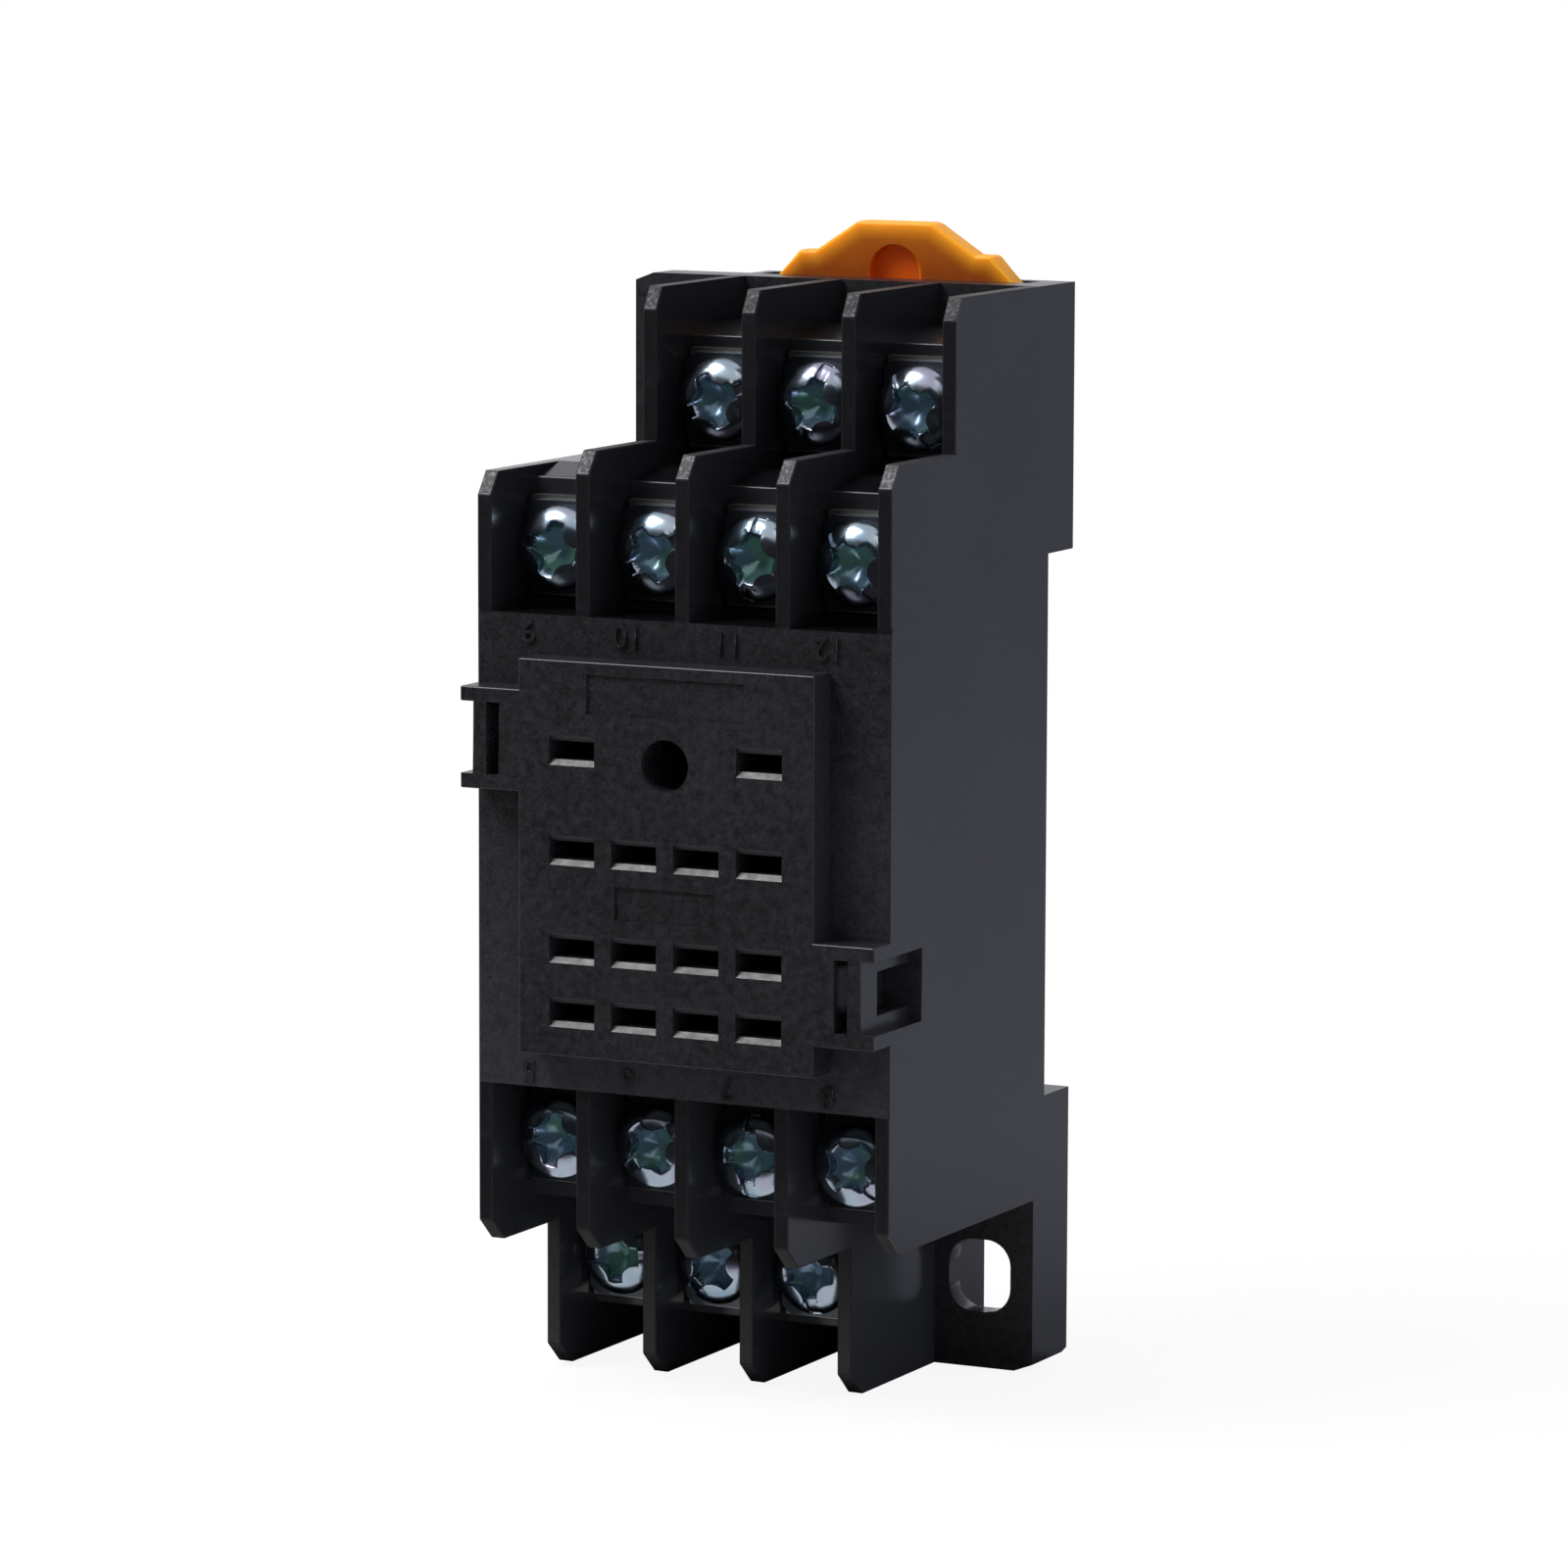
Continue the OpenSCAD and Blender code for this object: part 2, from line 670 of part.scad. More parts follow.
module contact(i) {
    tx = terminal_x(i);
    tz = terminal_z(i);
    seat = seat_d(i);
    inner = leg_z(i);
    color(contact_colour)
        in_body()
            difference() {
                union() {
                    leaf(i, 1);
                    leaf(i, -1);
                    forward(strip_d(i), strip_t)
                        strip_outline(i, 0);
                    block([tx - tab_w / 2, strip_d(i), min(way(i) * inner, way(i) * (inner + strip_t))],
                        [tx + tab_w / 2, seat + strip_t, max(way(i) * inner, way(i) * (inner + strip_t))]);
                    block([tx - tab_w / 2, seat, tz - tab_half],
                        [tx + tab_w / 2, seat + strip_t, tz + tab_half]);
                    translate([tx, -seat - strip_t / 2, tz])
                        rotate([-90, 0, 0])
                            cylinder(r = thread_r + collar_wall, h = strip_t / 2 + collar_l);
                }
                translate([tx, -seat - strip_t - over, tz])
                    rotate([-90, 0, 0])
                        cylinder(r = thread_r + thread_gap, h = strip_t + collar_l + 2 * over);
            }
}

module clamp_washer(i) {
    near = seat_d(i) + strip_t;
    color(washer_colour)
        in_body()
            translate([terminal_x(i), 0, terminal_z(i)])
                difference() {
                    intersection() {
                        block([-washer_w / 2, near, -washer_h / 2],
                            [washer_w / 2, near + washer_t, washer_h / 2]);
                        translate([0, over - near, 0])
                            rotate([90, 0, 0])
                                cylinder(r = washer_r, h = washer_t + 2 * over);
                    }
                    translate([0, over - near, 0])
                        rotate([90, 0, 0])
                            cylinder(r = thread_r + washer_bore_gap, h = washer_t + 2 * over);
                }
}

// Curve of the domed head, from its rim to its crown
function crown() = [for (a = [0 : 10 : 90]) [head_r * cos(a), head_rim + (head_h - head_rim) * sin(a)]];

// Half section of a screw, from its tip to the crown of its head
module screw_section() {
    tip = [[0, -screw_l], [thread_r - tip_chamfer, -screw_l], [thread_r, tip_chamfer - screw_l]];
    polygon(concat(tip, [[thread_r, 0], [head_r, 0]], crown()));
}

// Cross recess, which narrows to its floor between four round corners and ends in a blunt point
module cross_recess() {
    corner = cross_w / 2 + cross_corner;
    flare = (cross_l - cross_floor) / 2 / cross_depth;
    translate([0, 0, head_h - cross_depth]) {
        difference() {
            cylinder(r1 = cross_floor / 2, r2 = cross_l / 2 + flare * over, h = cross_depth + over);
            for (x = [-corner, corner], y = [-corner, corner])
                translate([x, y, -over])
                    cylinder(r = cross_corner, h = cross_depth + 3 * over);
        }
        translate([0, 0, -cross_point])
            cylinder(d1 = cross_point_d, d2 = cross_floor, h = cross_point);
    }
}

// Straight slot across the head, with a floor as round as the dome
module driver_slot() {
    difference() {
        translate([-head_r - over, -driver_slot_w / 2, head_rim])
            cube([2 * (head_r + over), driver_slot_w, head_h - head_rim + over]);
        translate([0, 0, -driver_slot_depth])
            rotate_extrude()
                polygon(concat([[0, 0], [head_r, 0]], crown()));
    }
}

module terminal_screw(i) {
    under_head = seat_d(i) + strip_t + washer_t;
    color(screw_colour)
        in_body()
            translate([terminal_x(i), -under_head, terminal_z(i)])
                rotate([90, 0, 0])
                    rotate([0, 0, head_turn(i)])
                        difference() {
                            rotate_extrude()
                                screw_section();
                            cross_recess();
                            driver_slot();
                        }
}

housing();
base();
rail_clip();
for (i = [0 : terminals - 1]) {
    contact(i);
    clamp_washer(i);
    terminal_screw(i);
}
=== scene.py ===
import math

import bmesh
import bpy
from mathutils import Matrix, Vector, geometry


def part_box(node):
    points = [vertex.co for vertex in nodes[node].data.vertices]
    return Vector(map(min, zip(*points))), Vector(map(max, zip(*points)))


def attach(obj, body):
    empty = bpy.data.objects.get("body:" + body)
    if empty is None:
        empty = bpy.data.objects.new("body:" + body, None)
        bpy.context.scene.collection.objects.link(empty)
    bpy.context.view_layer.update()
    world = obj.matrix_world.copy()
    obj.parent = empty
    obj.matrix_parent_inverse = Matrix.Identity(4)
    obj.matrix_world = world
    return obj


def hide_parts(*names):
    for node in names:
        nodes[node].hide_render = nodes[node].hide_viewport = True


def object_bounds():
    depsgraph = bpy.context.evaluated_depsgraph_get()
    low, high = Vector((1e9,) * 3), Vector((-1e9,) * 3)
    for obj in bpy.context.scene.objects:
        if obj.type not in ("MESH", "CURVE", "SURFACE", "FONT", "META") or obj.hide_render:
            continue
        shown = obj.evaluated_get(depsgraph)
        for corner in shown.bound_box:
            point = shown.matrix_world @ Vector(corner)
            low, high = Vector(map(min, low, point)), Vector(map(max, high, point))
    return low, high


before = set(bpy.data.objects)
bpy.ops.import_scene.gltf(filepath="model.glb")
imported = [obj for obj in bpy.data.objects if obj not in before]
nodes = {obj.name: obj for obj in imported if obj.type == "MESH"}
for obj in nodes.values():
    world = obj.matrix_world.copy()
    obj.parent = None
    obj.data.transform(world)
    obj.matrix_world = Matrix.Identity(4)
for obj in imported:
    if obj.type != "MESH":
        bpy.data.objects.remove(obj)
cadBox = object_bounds()
mm = 0.001
print("frame loaded:", len(nodes), "nodes")


class Wire:
    # one output socket; plain operators on it add Math nodes
    def __init__(self, tree, socket=None):
        self.tree = tree
        self.socket = socket

    def node(self, kind, settings=None, inputs=None, out=0):
        made = self.tree.nodes.new(kind)
        for key, value in (settings or {}).items():
            if key == "stops":
                setStops(made.color_ramp, value)
            else:
                setattr(made, key, value)
        for key, value in (inputs or {}).items():
            if isinstance(value, Wire):
                self.tree.links.new(value.socket, made.inputs[key])
            else:
                made.inputs[key].default_value = value
        return Wire(self.tree, made.outputs[out])

    def maths(self, operation, first, second):
        return self.node("ShaderNodeMath", {"operation": operation}, {0: first, 1: second})

    def __add__(self, other):
        return self.maths("ADD", self, other)

    def __radd__(self, other):
        return self.maths("ADD", other, self)

    def __sub__(self, other):
        return self.maths("SUBTRACT", self, other)

    def __rsub__(self, other):
        return self.maths("SUBTRACT", other, self)

    def __mul__(self, other):
        return self.maths("MULTIPLY", self, other)

    def __rmul__(self, other):
        return self.maths("MULTIPLY", other, self)

    def __pow__(self, other):
        return self.maths("POWER", self, other)


def setStops(ramp, stops):
    while len(ramp.elements) < len(stops):
        ramp.elements.new(1.0)
    for element, (place, colour) in zip(ramp.elements, stops):
        element.position = place
        element.color = colour


def srgb(r, g, b):
    # colour picked on screen, 0 to 255, as the linear values shaders take
    def line(c):
        c = c / 255
        return c / 12.92 if c <= 0.04045 else ((c + 0.055) / 1.055) ** 2.4
    return (line(r), line(g), line(b), 1.0)


def noise(wire, coords, size, detail=2.0, rough=0.5):
    # size is the rough width of one blob, in metres
    inputs = {"Vector": coords, "Scale": 0.6 / size, "Detail": detail, "Roughness": rough}
    return wire.node("ShaderNodeTexNoise", None, inputs, "Fac")


def ramp(wire, value, stops):
    return wire.node("ShaderNodeValToRGB", {"stops": stops}, {"Fac": value}, "Color")


def mixColour(wire, factor, first, second):
    return wire.node("ShaderNodeMix", {"data_type": "RGBA"}, {0: factor, 6: first, 7: second}, 2)


def startFinish(name, fixed):
    # a material with its constant sockets set, and a wire to build on
    material = bpy.data.materials.new(name)
    material.use_nodes = True
    tree = material.node_tree
    shader = tree.nodes["Principled BSDF"]
    for socket, value in fixed.items():
        shader.inputs[socket].default_value = value
    wire = Wire(tree)
    coords = wire.node("ShaderNodeTexCoord", None, None, "Object")
    return material, shader, wire, coords


def feed(shader, wire, sockets):
    for socket, value in sockets.items():
        wire.tree.links.new(value.socket, shader.inputs[socket])


def bumped(wire, height, strength, distance):
    inputs = {"Height": height, "Strength": strength, "Distance": distance}
    return wire.node("ShaderNodeBump", None, inputs, "Normal")


# zones painted on a piece and read by its finish
zoneName = "zone"


def zoneOf(wire):
    return wire.node("ShaderNodeAttribute", {"attribute_name": zoneName}, None, "Fac")


def between(zone, low, high):
    # 1 where the zone lies between the two values, 0 elsewhere
    return zone.maths("GREATER_THAN", zone, low) - zone.maths("GREATER_THAN", zone, high)


# zones of the black mouldings
zones = {
    "slotLip": -1.0,           # polished
    "ledge": -0.4,             # painted shade on the ledges in the bays
    "bay": -0.25,              # smooth, painted paler lower down and darker higher up, painted light and shade
    "side": 0.0,               # satin
    # painted shade, darker fronts of the walls between the bays
    "wallFront": 0.5,
    "dullShadedEdge": 0.75,          # lower chamfers, and edges of the walls between the bays; rougher, and painted darker, a painted shade
    "plate": 1.0,              # spark-eroded
    "strip": 1.1,              # eroded, and painted paler lower down, a painted light
    "rearChamfer": 1.5,        # half the painted glints
    "frontChamfer": 2.0,       # painted glints, pale specks that stand in for sparkle of light
}
blackLook = {
    "dark": srgb(16, 16, 19),
    "pale": srgb(50, 51, 57),
    # pale colour of the painted glints on the chamfers
    "glintWhite": srgb(128, 128, 132),
    "tone": 0.36,              # place between dark and pale, and what the zones take from it or add
    "cloudShare": 0.3,
    # painted shade: faces turned to the front are painted darker
    "frontShade": 0.18,
    # painted shade on the fronts of the walls, and on the ledges and dull edges
    "wallShade": 0.24,
    "ledgeShade": 0.34,
    # painted light: strips and bay faces painted paler, more lower down
    "stripLight": (0.14, -0.14 / (12 * mm)),    # at the middle, and its change with height
    "bayLight": (0.08, -0.16 / (40 * mm)),
    "contrast": 1.5,
    "blotch": 0.4 * mm,
    "cloud": 6.0 * mm,
    "grain": 0.16 * mm,
    "fineGrain": 0.07 * mm,
    "speckAndGlint": (0.46, 0.72),     # grain that turns to specks, raised, and painted as glints on the chamfers
    "polishedRough": 0.36,
    "bayRough": 0.17,
    "satinRough": 0.27,
    "grainRough": 0.48,
    "wornRough": 0.13,
    "dullRough": 0.38,
    "roughSpread": 0.20,
    "lipSpread": 0.4,
    "smoothRelief": 0.01,      # share of the grain's relief on smooth faces and on the slot lips
    "lipRelief": 0.3,
    "bump": 0.6,
    "bumpDepth": 0.03 * mm,
    "fixed": {"Specular IOR Level": 0.30, "IOR": 1.5},
}


def risen(high, line):
    start, slope = line
    return start + high * slope


def blackPlastic():
    look = blackLook
    material, shader, wire, coords = startFinish("blackPlastic", look["fixed"])
    zone = zoneOf(wire)
    above = zone.maths("MAXIMUM", zone, 0.0)
    grained = zone.maths("MINIMUM", above, 1.0)
    halfway = 4 * grained * (1 - grained)          # full on the wall fronts, none on sides and plate
    polished = zone.maths("LESS_THAN", zone, -0.5)
    onLedge = between(zone, -0.5, -0.3)
    inBay = between(zone, -0.5, -0.1)
    # dull edges: rougher, and painted darker as shade
    dull = between(zone, 0.6, 0.9)
    onStrip = between(zone, 1.05, 1.3)
    # chamfer share: worn roughness, and painted glints
    chamferWearAndGlint = zone.maths("MAXIMUM", zone - 1.0, 0.0) * (1 - onStrip)
    high = wire.node("ShaderNodeSeparateXYZ", None, {0: coords}, "Z")
    cloud = noise(wire, coords, look["cloud"], 2.0)
    blotch = noise(wire, coords, look["blotch"], 3.0, 0.6)
    grain = noise(wire, coords, look["grain"], 3.0, 0.6)
    fine = noise(wire, coords, look["fineGrain"], 1.0)
    speckLow, speckHigh = look["speckAndGlint"]
    speckAndGlint = ramp(wire, grain, [(speckLow, (0, 0, 0, 1)), (speckHigh, (1, 1, 1, 1))])
    mottle = blotch * 0.5 + grain * 0.5 - 0.5
    tone = look["tone"] + look["cloudShare"] * (cloud - 0.5)
    # painted shade: faces turned to the front are painted darker
    tone = tone + (look["contrast"] * mottle - look["frontShade"]) * grained
    # painted shade: the wall fronts, the ledges and the dull edges are painted darker
    tone = tone - look["wallShade"] * halfway - look["ledgeShade"] * (onLedge + dull)
    # painted light: strips and bay faces painted paler, more lower down
    tone = tone + risen(high, look["stripLight"]) * onStrip
    tone = tone + risen(high, look["bayLight"]) * (inBay - onLedge)
    colour = mixColour(wire, tone, look["dark"], look["pale"])
    satin = look["satinRough"]
    rough = satin + (look["grainRough"] - satin) * grained
    rough = rough + (look["polishedRough"] - satin) * polished + (look["bayRough"] - satin) * inBay
    rough = rough + look["wornRough"] * 4 * chamferWearAndGlint * (1 - chamferWearAndGlint) + look["dullRough"] * dull
    rough = rough + look["roughSpread"] * (fine - 0.5) * above
    rough = rough + look["lipSpread"] * (blotch - 0.5) * polished
    relief = look["smoothRelief"] + above ** 2.0 + look["lipRelief"] * polished
    height = (grain * 0.7 + fine * 0.3 + speckAndGlint * 0.3) * relief
    # painted glints: pale specks on the chamfers
    feed(shader, wire, {
        "Base Color": mixColour(wire, speckAndGlint * chamferWearAndGlint, colour, look["glintWhite"]),
        "Roughness": rough,
        "Normal": bumped(wire, height, look["bump"], look["bumpDepth"]),
    })
    return material


# amber clip plastic: zone 1 gold along the thin edges, a painted glow of light through them; 0 deep orange;
# -1 brighter red in the driver notch, painted light in its shade
amberLook = {
    "glowRed": srgb(206, 94, 9),
    "deep": srgb(146, 68, 5),
    "mid": srgb(174, 93, 9),
    "glowGold": srgb(222, 152, 28),
    "base": 35.0 * mm,         # heights between which the colour turns paler, a painted glow towards the top
    "rise": 4.0 * mm,
    "blotch": 2.0 * mm,
    "blotchShare": 0.5,
    "grain": 0.2 * mm,
    "rough": (0.36, 0.48),
    "bump": 0.16,
    "bumpDepth": 0.03 * mm,
    "fixed": {
        "Specular IOR Level": 0.22,
        "Subsurface Weight": 0.8,
        "Subsurface Radius": (1.0, 0.38, 0.06),
        "Subsurface Scale": 1.6 * mm,
    },
}


def amberPlastic():
    look = amberLook
    material, shader, wire, coords = startFinish("amberPlastic", look["fixed"])
    place = wire.node("ShaderNodeSeparateXYZ", None, {0: coords}, "Z")
    blotch = noise(wire, coords, look["blotch"], 3.0)
    grain = noise(wire, coords, look["grain"], 2.0)
    # paler towards the top, a painted glow
    climb = (place - look["base"]) * (1 / look["rise"]) + (blotch - 0.5) * look["blotchShare"]
    body = ramp(wire, climb, [(0.1, look["deep"]), (0.9, look["mid"])])
    zone = zoneOf(wire)
    # painted glow: gold on the thin edges, red in the notch
    edge = zone.maths("MAXIMUM", zone, 0.0)
    notch = zone.maths("MAXIMUM", zone * -1.0, 0.0)
    body = mixColour(wire, edge, body, look["glowGold"])
    low, high = look["rough"]
    feed(shader, wire, {
        "Base Color": mixColour(wire, notch, body, look["glowRed"]),
        "Roughness": low + (high - low) * grain,
        "Normal": bumped(wire, grain, look["bump"], look["bumpDepth"]),
    })
    return material


# zinc plate with a blue passivation tint; zone 1 is the recess, where it pools to a sea green, painted
# lighter and less metallic, a painted reflection that brightens the recess
zincLook = {
    "steel": srgb(152, 165, 178),
    "blue": srgb(112, 140, 164),
    "lilac": srgb(150, 146, 172),
    # the washers' colour, painted dark, a painted shade
    "shade": srgb(56, 60, 65),
    "pool": srgb(84, 126, 116),
    "poolBlue": srgb(86, 114, 136),
    "tint": 1.6 * mm,
    "tintSpread": 0.4,
    "scratch": 0.4 * mm,
    "scratchDepth": 0.12,      # beside the dents
    "dent": 0.9 * mm,
    "rough": (0.14, 0.30),
    "poolMetal": 0.5,
    "bump": 0.35,
    "bumpDepth": 0.03 * mm,
    "fixed": {"Coat Weight": 0.5, "Coat Roughness": 0.05},
}


# the screws are bright and tinted, the washers dull and painted dark, a painted shade
zincKinds = {
    "screwZinc": {"pale": "steel", "tintShare": 0.45, "dull": 0.0},
    "washerZinc": {"pale": "shade", "tintShare": -0.1, "dull": 0.24},
}


def platedZinc(name):
    look = zincLook
    kind = zincKinds[name]
    material, shader, wire, coords = startFinish(name, look["fixed"])
    patch = noise(wire, coords, look["tint"], 2.0)
    tint = ramp(wire, patch, [(0.36, look["blue"]), (0.5, look["steel"]), (0.64, look["lilac"])])
    scratch = noise(wire, coords, look["scratch"], 3.0, 0.65)
    dent = noise(wire, coords, look["dent"], 1.0)
    recess = zoneOf(wire)
    tinted = patch * look["tintSpread"] + kind["tintShare"]
    outer = mixColour(wire, tinted, look[kind["pale"]], tint)
    # pooled passivation, with a lighter colour and less metal, a painted reflection in the recess
    pool = ramp(wire, patch, [(0.42, look["pool"]), (0.58, look["poolBlue"])])
    low, high = look["rough"]
    feed(shader, wire, {
        "Base Color": mixColour(wire, recess, outer, pool),
        "Metallic": 1 - (1 - look["poolMetal"]) * recess,
        "Roughness": low + kind["dull"] + (high - low) * scratch,
        "Normal": bumped(wire, dent + scratch * look["scratchDepth"], look["bump"], look["bumpDepth"]),
    })
    return material


# tin plate on the contact strips, dull where the press drew it
tinLook = {
    "bright": srgb(206, 206, 202),
    "dull": srgb(160, 158, 152),
    "patch": 1.2 * mm,
    "grain": 0.1 * mm,
    "rough": (0.22, 0.42),
    "bump": 0.15,
    "bumpDepth": 0.02 * mm,
    "fixed": {"Metallic": 1.0},
}


def tinPlate():
    look = tinLook
    material, shader, wire, coords = startFinish("tinPlate", look["fixed"])
    patch = noise(wire, coords, look["patch"], 3.0)
    grain = noise(wire, coords, look["grain"], 2.0)
    low, high = look["rough"]
    feed(shader, wire, {
        "Base Color": mixColour(wire, patch, look["bright"], look["dull"]),
        "Roughness": low + (high - low) * (grain * 0.5 + patch * 0.5),
        "Normal": bumped(wire, grain, look["bump"], look["bumpDepth"]),
    })
    return material


finishes = {
    "black": blackPlastic(),
    "amber": amberPlastic(),
    "screwZinc": platedZinc("screwZinc"),
    "washerZinc": platedZinc("washerZinc"),
    "tin": tinPlate(),
}
print("finishes made:", len(finishes))


def placeMesh(name, bm, material):
    mesh = bpy.data.meshes.new(name)
    bm.to_mesh(mesh)
    bm.free()
    mesh.materials.append(material)
    piece = bpy.data.objects.new(name, mesh)
    bpy.context.scene.collection.objects.link(piece)
    return piece


def addPiece(name, bm, finish, body, stoodFor=()):
    piece = placeMesh(name, bm, finishes[finish])
    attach(piece, body)
    if stoodFor:
        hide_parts(*stoodFor)


skinLook = {"weld": 0.002 * mm, "flat": math.radians(0.6)}


def mergedCopy(node, zonesOn="faces"):
    # the node's loose triangles as one skin of flat faces, with room for its zones
    bm = bmesh.new()
    bm.from_mesh(nodes[node].data)
    bmesh.ops.remove_doubles(bm, verts=bm.verts[:], dist=skinLook["weld"])
    bmesh.ops.dissolve_limit(
        bm, angle_limit=skinLook["flat"], verts=bm.verts[:], edges=bm.edges[:], use_dissolve_boundaries=False,
    )
    getattr(bm, zonesOn).layers.float.new(zoneName)
    return bm


def easeEdges(bm, look, wanted=None, clamp=True):
    # breaks the sharp corners as a mould does, and gives back the new faces
    edges = [
        e for e in bm.edges
        if len(e.link_faces) == 2 and e.calc_face_angle(0) > look["sharp"]
        and (wanted is None or wanted(e))
    ]
    made = bmesh.ops.bevel(
        bm, geom=edges, offset=look["edge"], offset_type="OFFSET", affect="EDGES", segments=look["segments"],
        profile=0.5, material=-1, clamp_overlap=clamp,
    )
    return made["faces"]


def paintZones(bm, rule):
    layer = bm.faces.layers.float[zoneName]
    bm.normal_update()
    for face in bm.faces:
        face[layer] = rule(face)


def smoothRound(bm, sharp):
    # round faces shade as one, across edges flatter than sharp
    for face in bm.faces:
        face.smooth = True
    for edge in bm.edges:
        edge.smooth = edge.calc_face_angle(0) < sharp


# housing: the CAD shape with the small radii of a moulding on its outer edges
housingLook = {
    "edge": 0.10 * mm,
    "segments": 4,
    "sharp": math.radians(28),
    "shortest": 0.8 * mm,      # shorter edges are facets of bores and stay as they are
    "behind": 12.0 * mm,       # edges behind this depth are inside the contact pockets
    "slotHalf": 8.3 * mm,      # the field of pin slots and panels
    "slotHigh": 11.7 * mm,
    "slotLow": -11.6 * mm,
    "bayEdge": (14.6 * mm, 15.7 * mm),     # heights between which the lips of the front bays lie
    "near": 0.2 * mm,          # how close an edge lies to a named height
    "level": 0.1 * mm,
    "front": 2.0 * mm,         # the pin plate and its lips lie within this of the front
    "plateHalf": 10.3 * mm,
    "plateFoot": -13.0 * mm,   # stays sharp too
    "plateStep": 1.0 * mm,     # less than the plate's height over the strips
    "earLips": (4.65 * mm, -10.05 * mm),   # tops of the ears' lower lips, which stay sharp
    "rearTier": 20.0 * mm,     # chamfers behind this depth have half the painted glints, and are rougher
    "bays": 14.5 * mm,         # the bays begin this far above and below the middle
    "bayHalf": 14.2 * mm,      # and lie this far to its sides, inside the outer walls
    "bayFloor": 3.0 * mm,      # faces of the bays further back than this are smooth
    "wall": 1.3 * mm,          # thicker than any wall between two bays
    "grained": -0.95,          # faces turned this far to the front are spark-eroded
    "chamfer": -0.35,          # and those turned this far are chamfers
    "upward": 0.6,
    "sideways": 0.2,
}


def inSlotField(place):
    look = housingLook
    onPlate = place.y < cadBox[0].y + look["front"]
    return onPlate and abs(place.x) < look["slotHalf"] and look["slotLow"] < place.z < look["slotHigh"]


def onLowerLip(ends):
    # the foot of the pin plate and the lower lips of the ears
    look = housingLook
    outside = all(abs(p.x) > look["plateHalf"] for p in ends)
    heights = look["earLips"] if outside else [look["plateFoot"]]
    return any(all(abs(p.z - high) < look["near"] for p in ends) for high in heights)


def onBayLip(ends):
    low, high = housingLook["bayEdge"]
    level = abs(ends[0].z - ends[1].z) < housingLook["level"]
    return level and all(low < abs(p.z) < high for p in ends)


def outerEdge(edge):
    # true for the long outer corners; the lips of the slots and of the front bays stay sharp
    look = housingLook
    ends = [v.co for v in edge.verts]
    return (
        edge.is_convex and edge.calc_length() > look["shortest"]
        and min(-p.y for p in ends) > look["behind"]
        and not inSlotField((ends[0] + ends[1]) / 2) and not onBayLip(ends) and not onLowerLip(ends)
    )


def isNarrow(face):
    across = [v.co.x for v in face.verts]
    return max(across) - min(across) < housingLook["wall"]


def moulded(face, eased):
    # the zone of one face of the housing
    look = housingLook
    middle = face.calc_center_median()
    normal = face.normal
    byBays = abs(middle.z) > look["bays"]
    inside = byBays and abs(middle.x) < look["bayHalf"]
    if byBays and normal.z > look["upward"] and isNarrow(face):
        return zones["plate"]
    if face in eased:
        onUpperLedge = abs(normal.x) < look["sideways"] and normal.z > 0
        return zones["dullShadedEdge"] if inside and not onUpperLedge else zones["side"]
    if normal.y < look["grained"]:
        if byBays and isNarrow(face):
            return zones["wallFront"]
        if byBays and middle.y > cadBox[0].y + look["bayFloor"]:
            return zones["bay"]
        return zones["plate"] if middle.y < cadBox[0].y + look["plateStep"] else zones["strip"]
    if normal.y < look["chamfer"] and abs(normal.x) < look["sideways"]:
        if inSlotField(middle):
            return zones["slotLip"]
        if normal.z < 0:
            return zones["dullShadedEdge"]
        return zones["rearChamfer"] if -middle.y < look["rearTier"] else zones["frontChamfer"]
    if inside:
        return zones["ledge"] if abs(normal.z) > look["upward"] else zones["bay"]
    return zones["side"]


def geomOf(faces):
    # the faces with their own edges and corners, as bisect_plane wants them
    edges = list(dict.fromkeys(e for f in faces for e in f.edges))
    verts = list(dict.fromkeys(v for f in faces for v in f.verts))
    return faces + edges + verts


def partWallFronts(bm):
    # cuts the fronts of the walls from the strips, along the lips of the bays
    look = housingLook
    bm.normal_update()
    lips = {
        round(e.verts[0].co.z, 5) for e in bm.edges
        if onBayLip([v.co for v in e.verts]) and any(f.normal.y < look["grained"] for f in e.link_faces)
    }
    for high in sorted(lips):
        faces = [
            f for f in bm.faces
            if f.normal.y < look["grained"]
            and min(v.co.z for v in f.verts) < high < max(v.co.z for v in f.verts)
        ]
        lip = Vector((0, 0, high))
        bmesh.ops.bisect_plane(
            bm, geom=geomOf(faces), dist=0.005 * mm, plane_co=lip, plane_no=Vector((0, 0, 1)),
        )
    print("bay lips at:", [round(z / mm, 2) for z in sorted(lips)])


def makeHousing():
    bm = mergedCopy("housing")
    partWallFronts(bm)
    eased = set(easeEdges(bm, housingLook, outerEdge, clamp=False))
    paintZones(bm, lambda face: moulded(face, eased))
    print("housing faces:", len(bm.faces), "eased:", len(eased))
    addPiece("housingShell", bm, "black", "socket", ["housing"])


baseLook = {
    "edge": 0.16 * mm,
    "segments": 3,
    "sharp": math.radians(28),
    "slotMid": (10.8 * mm, -29.7 * mm),    # the mounting slot in the lower foot, with smooth walls
    "slotHalf": 2.6 * mm,
    "across": 0.1,             # walls of the slot turn no further to the front than this
}


def makeBase():
    look = baseLook
    bm = mergedCopy("base")
    eased = set(easeEdges(bm, look))

    def cast(face):
        middle = face.calc_center_median()
        slotX, slotZ = look["slotMid"]
        off = max(abs(middle.x - slotX), abs(middle.z - slotZ))
        if face in eased:
            return zones["side"]
        if off < look["slotHalf"] and abs(face.normal.y) < look["across"]:
            return zones["bay"]
        return zones["plate"] if face.normal.y < housingLook["grained"] else zones["side"]

    paintZones(bm, cast)
    print("base faces:", len(bm.faces))
    addPiece("baseShell", bm, "black", "socket", ["base"])


